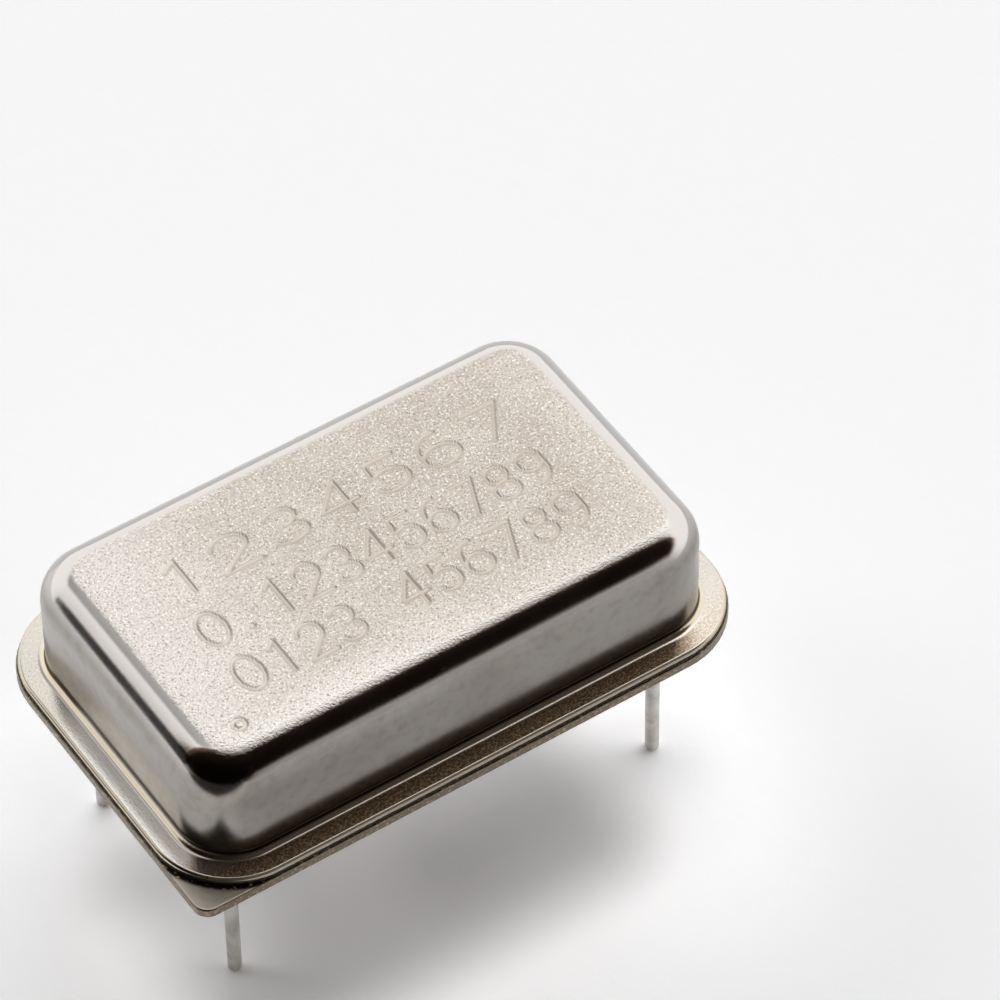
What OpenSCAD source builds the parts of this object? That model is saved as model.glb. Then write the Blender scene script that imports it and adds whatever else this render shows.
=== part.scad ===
// Full-size metal-can crystal oscillator on a four-lead glass-sealed header.
// Millimetres. Origin: centre of the lead pattern, in the seating plane under the stand-off beads.
// +X runs along the body, +Z points from the leads to the top of the can.

/* [Leads] */
// Lead spacing along the body
lead_pitch_x = 15.24; // [14.8:0.02:18]
// Lead spacing across the body
lead_pitch_y = 7.62; // [7.2:0.02:10]
// Diameter of the lead wire
lead_d = 0.45; // [0.35:0.05:0.6]
// Length of the leads below the base plate
lead_drop = 6.5; // [4:0.1:10]
// Height of the lead heads above the substrate
lead_head = 0.45; // [0.35:0.05:0.8]
// Chamfer on the cut ends of the leads
lead_chamfer = 0.05; // [0.02:0.01:0.08]

/* [Base plate] */
// Thickness of the rim that carries the can
rim_t = 0.35; // [0.3:0.05:0.8]
// Height of the coined deck above the rim
deck_rise = 0.5; // [0.3:0.05:0.8]
// Gap between the deck and the inside of the can
deck_gap = 0.1; // [0.05:0.05:0.25]
// Radius of the one square corner, which marks lead 1
index_corner_r = 0.5; // [0.1:0.05:0.6]
// Rounding of the rim edges
plate_edge_r = 0.06; // [0.03:0.01:0.09]
// Step from the flange edge out to the rim edge
flange_margin = 0.07; // [0.02:0.01:0.2]

/* [Can] */
// Thickness of the drawn sheet
sheet_t = 0.25; // [0.2:0.05:0.4]
// Height from the underside of the plate to the top of the can
body_h = 4.4; // [4.4:0.1:8]
// Distance from the lead centres to the end walls, inside
lead_end_gap = 1.16; // [1:0.02:1.6]
// Distance from the lead centres to the side walls, inside
lead_side_gap = 1.3; // [1.1:0.02:1.8]
// Outer corner radius of the wall
wall_r = 1.8; // [1.3:0.1:2]
// Outer radius of the bend from the wall to the top
top_r = 1.2; // [0.6:0.1:1.2]
// Radius of the bend from the wall to the flange
foot_r = 0.25; // [0.1:0.05:0.3]
// Width of the flange beyond the wall
flange_w = 0.85; // [0.7:0.05:1.2]
// Rounding of the flange edges
flange_edge_r = 0.11; // [0.05:0.01:0.14]

/* [Glass] */
// Diameter of the lead holes that the glass fills
seal_d = 1.35; // [1.1:0.05:1.5]
// Depth of the hollow meniscus on a glass seal
seal_sag = 0.09; // [0.05:0.01:0.12]
// Depth of the braze cone round the ground lead
braze_depth = 0.35; // [0.2:0.05:0.5]
// Diameter of a stand-off bead
bead_d = 1.88; // [1.6:0.02:2.2]
// Height of a stand-off bead
bead_h = 0.5; // [0.4:0.02:0.8]
// Radius of the turned-in edge of a bead
bead_edge_r = 0.33; // [0.2:0.01:0.36]
// Distance of a bead from its lead, along the diagonal
bead_inset = 2.6; // [2.3:0.02:3]
// Diameter of the pit that keys a bead to the plate
pit_d = 1.2; // [0.8:0.05:1.4]
// Depth of the pit
pit_depth = 0.12; // [0.08:0.01:0.2]

/* [Substrate] */
// Gap between the substrate and the inside of the can
substrate_gap = 0.55; // [0.45:0.05:0.6]
// Thickness of the ceramic
substrate_t = 0.635; // [0.5:0.005:0.8]
// Height of the substrate above the deck
substrate_lift = 0.3; // [0.2:0.05:0.5]
// Gap round a lead in its substrate hole, filled with solder
solder_gap = 0.12; // [0.08:0.01:0.14]
// Width of the printed ring round a lead hole
ring_w = 0.12; // [0.08:0.01:0.14]
// Thickness of a printed layer
print_t = 0.02; // [0.015:0.005:0.03]
// Width of a printed track
track_w = 0.3; // [0.2:0.05:0.4]

/* [Crystal] */
// Diameter of the quartz blank
crystal_d = 8; // [7:0.1:8.4]
// Thickness of the quartz blank
crystal_t = 0.42; // [0.3:0.01:0.6]
// Height of the blank above the printed pads
crystal_lift = 0.9; // [0.8:0.05:1]
// Gap between the blank and the end wall of the can
crystal_end_gap = 2.4; // [2.3:0.1:2.6]
// Diameter of an electrode
electrode_d = 5; // [4:0.1:6]
// Width of the tab from an electrode to the edge of the blank
electrode_tab_w = 1.2; // [0.8:0.1:1.6]
// Thickness of an electrode
electrode_t = 0.02; // [0.015:0.005:0.03]
// Thickness of the spring clip strip
clip_t = 0.12; // [0.08:0.01:0.15]
// Inner radius of the bend in a clip
clip_bend_r = 0.1; // [0.05:0.01:0.2]
// Length of the soldered foot of a clip
clip_foot = 0.9; // [0.7:0.05:1]
// Height of the clip above the blank
clip_lip = 0.35; // [0.25:0.05:0.5]
// Width of the clip at each end of its slot
clip_cheek = 0.35; // [0.25:0.05:0.5]
// How far the edge of the blank comes through the slot
crystal_poke = 0.05; // [0.02:0.01:0.1]
// Clearance round the blank in the slot
clip_play = 0.05; // [0.02:0.01:0.1]
// Radius of a conductive adhesive dot
adhesive_r = 0.3; // [0.15:0.01:0.34]

/* [Chip and capacitor] */
// Length of the oscillator chip
chip_w = 1.5; // [1:0.1:1.7]
// Width of the oscillator chip
chip_d = 1.6; // [1.3:0.1:2]
// Thickness of the oscillator chip
chip_t = 0.3; // [0.2:0.01:0.4]
// Distance from the chip centre to the end wall of the can
chip_end_gap = 3.6; // [3.4:0.1:3.7]
// Distance of the chip centre from the long axis
chip_y = 0.9; // [0.5:0.1:1.1]
// Thickness of the die-attach film
attach_t = 0.03; // [0.02:0.005:0.05]
// Margin of the die-attach film round the chip
attach_margin = 0.1; // [0.05:0.01:0.12]
// Diameter of the bond wire
wire_d = 0.04; // [0.03:0.005:0.05]
// Rise of a bond wire above its chord
wire_rise = 0.25; // [0.15:0.01:0.3]
// Spacing of the bond pads
pad_pitch = 0.7; // [0.6:0.05:0.8]
// Side of a bond pad
pad_w = 0.4; // [0.3:0.05:0.5]
// Distance from the chip centre to a row of bond pads
pad_reach = 1.5; // [1.4:0.05:1.6]
// Length of the bypass capacitor
cap_l = 2; // [1.6:0.1:2.2]
// Width of the bypass capacitor
cap_w = 1.25; // [0.8:0.05:1.4]
// Height of the bypass capacitor
cap_h = 0.8; // [0.5:0.05:1.2]
// Length of a capacitor end cap
cap_band = 0.4; // [0.25:0.05:0.5]
// Thickness of a capacitor end cap
cap_skin = 0.05; // [0.03:0.01:0.08]
// Distance from the capacitor centre to the side wall of the can
cap_side_gap = 2.7; // [2.6:0.1:2.8]
// Width of the printed resistor
resistor_w = 0.7; // [0.4:0.05:0.9]
// Length of the printed resistor
resistor_l = 1.05; // [0.8:0.05:1.2]

/* [Hidden] */
$fn = 48;

// Lead positions by their place in the pattern, counted from the square corner
INDEX = 0;
GROUND = 1;
OUTPUT = 2;
SUPPLY = 3;
lead_x = lead_pitch_x / 2;
lead_y = lead_pitch_y / 2;
LEADS = [[-lead_x, -lead_y], [lead_x, -lead_y], [lead_x, lead_y], [-lead_x, lead_y]];
lead_r = lead_d / 2;
// The wire is plated below the plate only, so it's thinner in the glass and in the solder
plating_t = 0.01;
bare_r = lead_r - plating_t;

// Plan sizes, worked outward from the leads
inner_w = lead_pitch_x + 2 * lead_end_gap;
inner_d = lead_pitch_y + 2 * lead_side_gap;
inner_r = wall_r - sheet_t;
wall_w = inner_w + 2 * sheet_t;
wall_d = inner_d + 2 * sheet_t;
plate_w = wall_w + 2 * (flange_w + flange_margin);
plate_d = wall_d + 2 * (flange_w + flange_margin);
plate_r = wall_r + flange_w + flange_margin;
// The index corner is the third one, counted anticlockwise from +X +Y
plate_radii = [plate_r, plate_r, index_corner_r, plate_r];

// Heights, worked upward from the seating plane
plate_z = bead_h;
rim_z = plate_z + rim_t;
deck_z = rim_z + deck_rise;
top_z = plate_z + body_h;
substrate_z = deck_z + substrate_lift;
face_z = substrate_z + substrate_t;
print_z = face_z + print_t;
crystal_z = print_z + crystal_lift;
crystal_top = crystal_z + crystal_t;
lead_top = face_z + lead_head;

// Substrate holes and the solder in them
hole_r = bare_r + solder_gap;
ring_r = hole_r + ring_w;
solder_edge = 0.02;
solder_fillet = ring_r - bare_r - solder_edge;

// Crystal and clips
crystal_r = crystal_d / 2;
crystal_x = inner_w / 2 - crystal_end_gap - crystal_r;
clip_depth = clip_t + crystal_poke;
slot_w = 2 * sqrt(crystal_r * crystal_r - pow(crystal_r - clip_depth, 2)) + 2 * clip_play;
clip_w = slot_w + 2 * clip_cheek;
clip_reach = crystal_r - clip_depth;
foot_margin = 0.15;
tab_gap = 0.1;

// Chip, pads and capacitor
chip_x = chip_end_gap - inner_w / 2;
die_top = print_z + attach_t + chip_t;
bond_r = 1.5 * wire_d;
bond_h = 1.25 * wire_d;
bond_edge = 0.2;
bond_rows = 3;
top_row = bond_rows - 1;
cap_y = cap_side_gap - inner_d / 2;
cap_fillet = 0.25;
cap_land = cap_fillet + 0.05;
glaze_edge = 0.05;
// The track to the far clip runs past the end of the resistor
crystal_track_y = -clip_w / 2 - foot_margin - resistor_l - track_w / 2;
overlap = 0.01;

function mid(a, b) = (a + b) / 2;
function span(a, b) = [for (k = [0:len(a) - 1]) abs(a[k] - b[k])];

// ---- shared shapes ----

// Rectangle w by d with a radius of its own at each corner, anticlockwise from +X +Y
function corner_x(i) = (i == 0 || i == 3) ? 1 : -1;
function corner_y(i) = i < 2 ? 1 : -1;
function corner_at(w, d, r, i) = [corner_x(i) * (w / 2 - r), corner_y(i) * (d / 2 - r)];

module round_outline(w, d, radii) {
    points = [
        for (i = [0:3])
            for (side = [0, 1])
                corner_at(w, d, radii[i], i)
                    + radii[i] * [cos(90 * (i + side)), sin(90 * (i + side))]
    ];
    polygon(points);
    for (i = [0:3])
        translate(corner_at(w, d, radii[i], i))
            circle(radii[i]);
}

// Sweeps a profile round that rectangle. The profile's x is 0 on the outline and grows outward.
module sweep_outline(w, d, radii) {
    for (i = [0:3]) {
        next = (i + 1) % 4;
        turn = 90 * (i + 1);
        length = (i % 2 == 0 ? w : d) - radii[i] - radii[next];
        translate(corner_at(w, d, radii[i], i))
            rotate([0, 0, 90 * i])
                rotate_extrude(angle = 90)
                    translate([radii[i], 0])
                        children();
        translate(corner_at(w, d, radii[next], next) + radii[next] * [cos(turn), sin(turn)])
            rotate([90, 0, turn])
                linear_extrude(length)
                    children();
    }
}

// Quarter ring of sheet between radii r and r + t, in the quadrant that starts at angle a
module bend(r, t, a) {
    rotate(a)
        intersection() {
            difference() {
                circle(r + t);
                circle(r);
            }
            square(r + t);
        }
}

// Bar from x0 to x1 and 0 to t, with its +X edges rounded
module round_bar(x0, x1, t, r) {
    translate([x0, 0])
        square([x1 - r - x0, t]);
    translate([x1 - r, r])
        square([r, t - 2 * r]);
    for (y = [r, t - r])
        translate([x1 - r, y])
            circle(r);
}

// Concave fillet between a floor and a wall that meet at the origin
module fillet(r) {
    difference() {
        square(r);
        translate([r, r])
            circle(r);
    }
}

// Ring between radii a and b whose lower face is hollowed by sag
module hollow_ring(a, b, h, sag) {
    half = (b - a) / 2;
    bowl = (half * half + sag * sag) / (2 * sag);
    rotate_extrude()
        difference() {
            translate([a, 0])
                square([2 * half, h]);
            translate([a + half, sag - bowl])
                circle(bowl);
        }
}

module at_lead(i) {
    translate([LEADS[i][0], LEADS[i][1], 0])
        children();
}

// ---- header ----

module base_plate() {
    band = index_corner_r;
    color("#b9b2a6")
    difference() {
        union() {
            translate([0, 0, plate_z]) {
                linear_extrude(rim_t)
                    round_outline(plate_w - 2 * band, plate_d - 2 * band,
                                  [for (r = plate_radii) r - band]);
                sweep_outline(plate_w, plate_d, plate_radii)
                    round_bar(-band, 0, rim_t, plate_edge_r);
            }
            translate([0, 0, plate_z])
                linear_extrude(rim_t + deck_rise)
                    round_outline(inner_w - 2 * deck_gap, inner_d - 2 * deck_gap,
                                  [for (i = [0:3]) inner_r - deck_gap]);
        }
        for (p = LEADS)
            translate([p[0], p[1], plate_z - overlap])
                cylinder(d = seal_d, h = rim_t + deck_rise + 2 * overlap);
        for (i = [0:3])
            at_bead(i)
                translate([0, 0, -overlap])
                    cylinder(d = pit_d, h = pit_depth + overlap);
    }
}

// Round wire, plated from the cut tip to the plate and bare from there to the head
module lead(i) {
    tip_z = plate_z - lead_drop;
    color("#c9c8c4")
    at_lead(i)
        rotate_extrude()
            polygon([
                [0, tip_z],
                [lead_r - lead_chamfer, tip_z],
                [lead_r, tip_z + lead_chamfer],
                [lead_r, plate_z],
                [bare_r, plate_z],
                [bare_r, lead_top - lead_chamfer],
                [bare_r - lead_chamfer, lead_top],
                [0, lead_top]
            ]);
}

module glass_seal(i) {
    color("#15181a")
    at_lead(i)
        translate([0, 0, plate_z])
            hollow_ring(bare_r, seal_d / 2, rim_t + deck_rise, seal_sag);
}

module ground_braze() {
    full = rim_t + deck_rise;
    color("#c2b9a4")
    at_lead(GROUND)
        translate([0, 0, plate_z])
            rotate_extrude()
                polygon([
                    [bare_r, braze_depth],
                    [seal_d / 2, 0],
                    [seal_d / 2, full],
                    [bare_r, full]
                ]);
}

// Moves to the pit of a bead, in the underside of the plate
module at_bead(i) {
    inward = atan2(LEADS[i][1], LEADS[i][0]);
    at_lead(i)
        translate([-bead_inset * cos(inward), -bead_inset * sin(inward), plate_z])
            children();
}

// A dome of two tangent arcs: a small one at the rim and a wide one over the top
module bead_profile() {
    rim_x = bead_d / 2 - bead_edge_r;
    dome_r = (rim_x * rim_x + bead_h * bead_h - bead_edge_r * bead_edge_r) / (2 * (bead_h - bead_edge_r));
    lean = atan2(dome_r - bead_h, rim_x);
    reach = 2 * dome_r;
    joint = [rim_x, 0] + reach * [cos(lean), sin(lean)];
    intersection() {
        translate([0, bead_h - dome_r])
            circle(dome_r);
        polygon([[0, 0], [rim_x, 0], joint, [0, joint[1]]]);
    }
    intersection() {
        translate([rim_x, 0])
            circle(bead_edge_r);
        polygon([[rim_x, 0], [bead_d, 0], [bead_d, joint[1]], joint]);
    }
}

module standoff_bead(i) {
    color("#1c1f7e")
    at_bead(i) {
        mirror([0, 0, 1])
            rotate_extrude()
                bead_profile();
        cylinder(d = pit_d, h = pit_depth);
    }
}

// ---- can ----

// Section of the drawn sheet. x is 0 on the outside of the wall, y is 0 on the rim.
module can_section() {
    height = top_z - rim_z;
    edge_r = min(flange_edge_r, sheet_t / 2 - overlap);
    foot_z = sheet_t + foot_r;
    translate([-top_r, height - top_r])
        bend(top_r - sheet_t, sheet_t, 0);
    translate([-sheet_t, foot_z])
        square([sheet_t, height - top_r - foot_z]);
    translate([foot_r, foot_z])
        bend(foot_r, sheet_t, 180);
    round_bar(foot_r, flange_w, sheet_t, edge_r);
}

module can() {
    color("#c8c4bc")
    translate([0, 0, rim_z]) {
        sweep_outline(wall_w, wall_d, [for (i = [0:3]) wall_r])
            can_section();
        translate([0, 0, top_z - rim_z - sheet_t])
            linear_extrude(sheet_t)
                round_outline(wall_w - 2 * top_r, wall_d - 2 * top_r,
                              [for (i = [0:3]) wall_r - top_r]);
    }
}

// ---- substrate and printed layers ----

module substrate() {
    color("#efece2")
    difference() {
        translate([0, 0, substrate_z])
            linear_extrude(substrate_t)
                round_outline(inner_w - 2 * substrate_gap, inner_d - 2 * substrate_gap,
                              [for (i = [0:3]) inner_r - substrate_gap]);
        for (p = LEADS)
            translate([p[0], p[1], substrate_z - overlap])
                cylinder(r = hole_r, h = substrate_t + 2 * overlap);
    }
}

// Filled hole with a concave fillet up the lead
module solder(i) {
    color("#b4b6b8")
    at_lead(i)
        rotate_extrude() {
            translate([bare_r, substrate_z])
                square([solder_gap, print_z - substrate_z]);
            translate([bare_r, print_z])
                fillet(solder_fillet);
        }
}

// Printed track of straight runs, each along X or Y
module track(points) {
    for (k = [0:len(points) - 2]) {
        a = points[k];
        b = points[k + 1];
        translate(mid(a, b))
            square(span(a, b) + [track_w, track_w], center = true);
    }
}

module pad(centre, size) {
    translate(centre)
        square(size, center = true);
}

function bond_pad(side, row) = [chip_x + side * pad_reach, chip_y + (row - 1) * pad_pitch];
function clip_pad(side) = [crystal_x + side * (clip_reach + clip_t + clip_foot / 2), 0];
function cap_pad(side) = [cap_x() + side * cap_l / 2, cap_y];
function cap_x() = chip_x;

module conductor_print() {
    supply_x = -lead_x;
    right_pad = clip_pad(1);
    left_pad = clip_pad(-1);
    ground_y = mid(bond_pad(-1, 0)[1] - pad_w / 2, cap_y + cap_w / 2);
    color("#cfd0cc")
    translate([0, 0, face_z])
        linear_extrude(print_t)
            difference() {
                union() {
                    for (p = LEADS)
                        translate(p)
                            circle(ring_r);
                    for (side = [-1, 1]) {
                        for (row = [0:bond_rows - 1])
                            pad(bond_pad(side, row), [pad_w, pad_w]);
                        pad(clip_pad(side), [clip_foot + 2 * foot_margin, clip_w + 2 * foot_margin]);
                        pad(cap_pad(side), [2 * cap_land, cap_w]);
                    }
                    pad([chip_x, chip_y], [chip_w + 2 * attach_margin, chip_d + 2 * attach_margin]);
                    // supply: lead, chip and capacitor
                    track([LEADS[SUPPLY], [supply_x, cap_y], cap_pad(-1)]);
                    track([[supply_x, bond_pad(-1, top_row)[1]], bond_pad(-1, top_row)]);
                    // ground: chip, capacitor and lead
                    track([bond_pad(-1, 0), [bond_pad(-1, 0)[0], ground_y], [cap_pad(1)[0], ground_y],
                           [cap_pad(1)[0], -lead_y], LEADS[GROUND]]);
                    track([bond_pad(-1, 0), bond_pad(-1, 1), [chip_x, chip_y]]);
                    // output: chip and lead
                    track([bond_pad(1, top_row), [bond_pad(1, top_row)[0], lead_y], LEADS[OUTPUT]]);
                    // crystal: near clip and far clip
                    track([bond_pad(1, 1), [left_pad[0], bond_pad(1, 1)[1]]]);
                    track([bond_pad(1, 0), [bond_pad(1, 0)[0], crystal_track_y],
                           [right_pad[0], crystal_track_y], right_pad]);
                }
                for (p = LEADS)
                    translate(p)
                        circle(hole_r);
            }
}

// Resistor between the near clip's pad and the track to the far clip
module resistor_area(edge) {
    high = -clip_w / 2 - foot_margin;
    low = crystal_track_y + track_w / 2;
    translate([clip_pad(-1)[0], mid(high, low)])
        square([resistor_w - 2 * edge, high - low - 2 * edge], center = true);
}

module resistor_print() {
    color("#26262a")
    translate([0, 0, face_z])
        linear_extrude(print_t)
            resistor_area(0);
}

module resistor_glaze() {
    color("#3f7d5d")
    translate([0, 0, print_z])
        linear_extrude(print_t)
            resistor_area(glaze_edge);
}

// ---- chip ----

module die_attach() {
    color("#a8a9a6")
    translate([chip_x, chip_y, print_z + attach_t / 2])
        cube([chip_w + 2 * attach_margin, chip_d + 2 * attach_margin, attach_t], center = true);
}

module oscillator_chip() {
    color("#5a5f73")
    translate([chip_x, chip_y, print_z + attach_t + chip_t / 2])
        cube([chip_w, chip_d, chip_t], center = true);
}

// Round wire from a to b, both [x, y, z], bowed upward, with a flat bond under each end
module bond_wire(a, b) {
    run = norm([b[0] - a[0], b[1] - a[1]]);
    drop = a[2] - b[2];
    chord = norm([run, drop]);
    bow_r = (chord * chord / 4 + wire_rise * wire_rise) / (2 * wire_rise);
    up = [drop, run] / chord;
    centre = [run / 2, -drop / 2] - (bow_r - wire_rise) * up;
    from = atan2(-drop - centre[1], run - centre[0]);
    to = atan2(-centre[1], -centre[0]);
    lift = bond_h / 2 + wire_d / 8;
    translate(a + [0, 0, lift])
        rotate([0, 0, atan2(b[1] - a[1], b[0] - a[0])])
            rotate([90, 0, 0])
                translate(centre)
                    rotate([0, 0, from])
                        rotate_extrude(angle = to - from)
                            translate([bow_r, 0])
                                circle(d = wire_d);
    for (p = [a, b])
        translate(p)
            cylinder(r = bond_r, h = bond_h);
}

module bond_wires() {
    color("#e2b84a")
    for (side = [-1, 1])
        for (row = [0:bond_rows - 1]) {
            land = bond_pad(side, row);
            spread = (chip_d / 2 - bond_edge) / pad_pitch;
            bond_wire(
                [chip_x + side * (chip_w / 2 - bond_edge), chip_y + (row - 1) * pad_pitch * min(1, spread), die_top],
                [land[0], land[1], print_z]
            );
        }
}

// ---- capacitor ----

module at_capacitor() {
    translate([cap_x(), cap_y, print_z + cap_h / 2])
        children();
}

module capacitor_body() {
    color("#8f7559")
    at_capacitor()
        cube([cap_l - 2 * cap_skin, cap_w - 2 * cap_skin, cap_h - 2 * cap_skin], center = true);
}

module capacitor_cap(side) {
    color("#c4c4c0")
    at_capacitor()
        difference() {
            translate([side * (cap_l - cap_band) / 2, 0, 0])
                cube([cap_band, cap_w, cap_h], center = true);
            cube([cap_l - 2 * cap_skin, cap_w - 2 * cap_skin, cap_h - 2 * cap_skin], center = true);
        }
}

// Solder fillet along Y, against a wall that faces side
module solder_line(x, y, side, r, length) {
    translate([x, y, print_z])
        mirror([side < 0 ? 1 : 0, 0, 0])
            translate([0, length / 2, 0])
                rotate([90, 0, 0])
                    linear_extrude(length)
                        fillet(r);
}

module capacitor_solder() {
    color("#b4b6b8")
    for (side = [-1, 1])
        solder_line(cap_pad(side)[0], cap_y, side, cap_fillet, cap_w);
}

// ---- crystal ----

module crystal_blank() {
    color("#dfe6ea")
    translate([crystal_x, 0, crystal_z])
        cylinder(d = crystal_d, h = crystal_t);
}

// Round film with a tab toward side, on the blank at height z
module electrode_film(z, side) {
    reach = clip_reach - tab_gap;
    translate([crystal_x, 0, z])
        linear_extrude(electrode_t) {
            circle(d = electrode_d);
            translate([side * reach / 2, 0])
                square([reach, electrode_tab_w], center = true);
        }
}

module electrode_upper() {
    color("#d9d9d4")
    electrode_film(crystal_top, 1);
}

module electrode_lower() {
    color("#d9d9d4")
    electrode_film(crystal_z - electrode_t, -1);
}

// Bent strip: a foot on the pad and an upright whose slot holds the edge of the blank
module crystal_clip(side) {
    rise = clip_bend_r + clip_t;
    top = crystal_top + clip_lip - print_z;
    color("#bdbcae")
    translate([crystal_x, 0, print_z])
        mirror([side < 0 ? 1 : 0, 0, 0])
            difference() {
                translate([clip_reach, clip_w / 2, 0])
                    rotate([90, 0, 0])
                        linear_extrude(clip_w) {
                            translate([rise, rise])
                                bend(clip_bend_r, clip_t, 180);
                            translate([0, rise])
                                square([clip_t, top - rise]);
                            translate([rise, 0])
                                square([clip_t + clip_foot - rise, clip_t]);
                        }
                translate([clip_reach - overlap, -slot_w / 2, crystal_z - print_z])
                    cube([clip_t + 2 * overlap, slot_w, crystal_t + clip_play]);
            }
}

module clip_solder() {
    color("#b4b6b8")
    for (side = [-1, 1])
        solder_line(crystal_x + side * (clip_reach + clip_t + clip_foot), 0, side, clip_t, clip_w);
}

// Quarter ball in the corner between the blank and the upright of the clip
module adhesive(side, face, up) {
    difference() {
        intersection() {
            translate([crystal_x + side * clip_reach, 0, face])
                sphere(adhesive_r);
            translate([crystal_x + side * (clip_reach - adhesive_r / 2), 0, face + up * adhesive_r / 2])
                cube([adhesive_r, 2 * adhesive_r, adhesive_r], center = true);
        }
        children();
    }
}

module adhesive_left() {
    color("#9a9b97")
    adhesive(-1, crystal_z, -1)
        electrode_lower();
}

module adhesive_right() {
    color("#9a9b97")
    adhesive(1, crystal_top, 1)
        electrode_upper();
}

can();
base_plate();
lead(INDEX);  // lead_index
lead(GROUND);  // lead_ground
lead(OUTPUT);  // lead_output
lead(SUPPLY);  // lead_supply
glass_seal(INDEX);  // glass_seal_index
glass_seal(OUTPUT);  // glass_seal_output
glass_seal(SUPPLY);  // glass_seal_supply
ground_braze();
standoff_bead(INDEX);  // standoff_bead_index
standoff_bead(GROUND);  // standoff_bead_ground
standoff_bead(OUTPUT);  // standoff_bead_output
standoff_bead(SUPPLY);  // standoff_bead_supply
substrate();
conductor_print();
resistor_print();
resistor_glaze();
solder(INDEX);  // solder_index
solder(GROUND);  // solder_ground
solder(OUTPUT);  // solder_output
solder(SUPPLY);  // solder_supply
oscillator_chip();
die_attach();
bond_wires();
capacitor_body();
capacitor_cap(-1);  // capacitor_cap_left
capacitor_cap(1);  // capacitor_cap_right
capacitor_solder();
crystal_blank();
electrode_upper();
electrode_lower();
crystal_clip(-1);  // crystal_clip_left
crystal_clip(1);  // crystal_clip_right
clip_solder();
adhesive_left();
adhesive_right();
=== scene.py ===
import math

import bmesh
import bpy
import mathutils.noise
import numpy as np
from mathutils import Matrix, Vector


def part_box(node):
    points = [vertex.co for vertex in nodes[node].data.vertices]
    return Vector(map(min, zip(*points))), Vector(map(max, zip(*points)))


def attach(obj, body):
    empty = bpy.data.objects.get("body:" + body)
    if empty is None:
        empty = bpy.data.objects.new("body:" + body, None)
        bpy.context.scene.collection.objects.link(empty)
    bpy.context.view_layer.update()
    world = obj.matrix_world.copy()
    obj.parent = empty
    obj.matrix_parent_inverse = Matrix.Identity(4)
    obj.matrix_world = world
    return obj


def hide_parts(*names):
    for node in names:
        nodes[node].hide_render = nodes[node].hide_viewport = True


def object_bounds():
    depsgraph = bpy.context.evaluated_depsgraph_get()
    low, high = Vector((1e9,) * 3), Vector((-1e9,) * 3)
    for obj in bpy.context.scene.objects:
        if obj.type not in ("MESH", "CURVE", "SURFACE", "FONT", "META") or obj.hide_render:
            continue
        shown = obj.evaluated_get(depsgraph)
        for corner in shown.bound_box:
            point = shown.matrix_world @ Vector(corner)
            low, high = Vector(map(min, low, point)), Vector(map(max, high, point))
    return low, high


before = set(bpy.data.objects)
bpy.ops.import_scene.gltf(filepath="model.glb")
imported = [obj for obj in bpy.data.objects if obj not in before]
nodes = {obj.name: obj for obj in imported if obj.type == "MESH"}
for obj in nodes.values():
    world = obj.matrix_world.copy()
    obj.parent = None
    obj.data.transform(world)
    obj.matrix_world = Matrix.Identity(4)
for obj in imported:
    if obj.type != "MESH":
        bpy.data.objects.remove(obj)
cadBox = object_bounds()
mm = 0.001    # sizes are written in millimetres and kept in metres
print("frame loaded:", len(nodes), "nodes")


# Helpers for node trees. An input takes a socket or a plain value

def newMaterial(name):
    material = bpy.data.materials.new(name)
    material.use_nodes = True
    tree = material.node_tree
    return material, tree, tree.nodes["Principled BSDF"]


def plug(tree, socket, value):
    if isinstance(value, bpy.types.NodeSocket):
        tree.links.new(value, socket)
    else:
        socket.default_value = value


def addNode(tree, kind, inputs=None, **settings):
    made = tree.nodes.new("ShaderNode" + kind)
    for name, value in settings.items():
        setattr(made, name, value)
    for name, value in (inputs or {}).items():
        plug(tree, made.inputs[name], value)
    return made


def split(tree, vector):
    return addNode(tree, "SeparateXYZ", {"Vector": vector}).outputs


def objectCoords(tree, stretch=None):
    coords = addNode(tree, "TexCoord").outputs["Object"]
    if stretch is None:
        return coords
    return addNode(tree, "Mapping", {"Vector": coords, "Scale": stretch}).outputs["Vector"]


def noise(tree, coords, size, detail=2.0, rough=0.5, distortion=0.0):
    # size is the width of one blotch
    inputs = {"Vector": coords, "Scale": 1 / size, "Detail": detail, "Roughness": rough}
    return addNode(tree, "TexNoise", {**inputs, "Distortion": distortion}).outputs["Fac"]


def ramp(tree, value, low, high, toLow=0.0, toHigh=1.0, smooth=True):
    # From low to high the result goes from toLow to toHigh, and it stays there beyond
    inputs = {"Value": value, "From Min": low, "From Max": high, "To Min": toLow, "To Max": toHigh}
    kind = "SMOOTHSTEP" if smooth else "LINEAR"
    return addNode(tree, "MapRange", inputs, interpolation_type=kind).outputs["Result"]


def maths(tree, operation, a, b=0.0):
    made = addNode(tree, "Math", operation=operation)
    plug(tree, made.inputs[0], a)
    plug(tree, made.inputs[1], b)
    return made.outputs["Value"]


def times(tree, first, *others):
    for other in others:
        first = maths(tree, "MULTIPLY", first, other)
    return first


def plus(tree, a, b):
    return maths(tree, "ADD", a, b)


def minus(tree, a, b):
    return maths(tree, "SUBTRACT", a, b)


def larger(tree, a, b):
    return maths(tree, "MAXIMUM", a, b)


def beyond(tree, value, centre, half):
    # How far a coordinate lies outside a span
    away = maths(tree, "ABSOLUTE", minus(tree, value, centre))
    return larger(tree, minus(tree, away, half), 0.0)


def outside(tree, place, centre, half):
    # Distance from a rectangle in the plan, 0 inside it
    dx = beyond(tree, place["X"], centre[0], half[0])
    dy = beyond(tree, place["Y"], centre[1], half[1])
    return maths(tree, "SQRT", plus(tree, times(tree, dx, dx), times(tree, dy, dy)))


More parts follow.
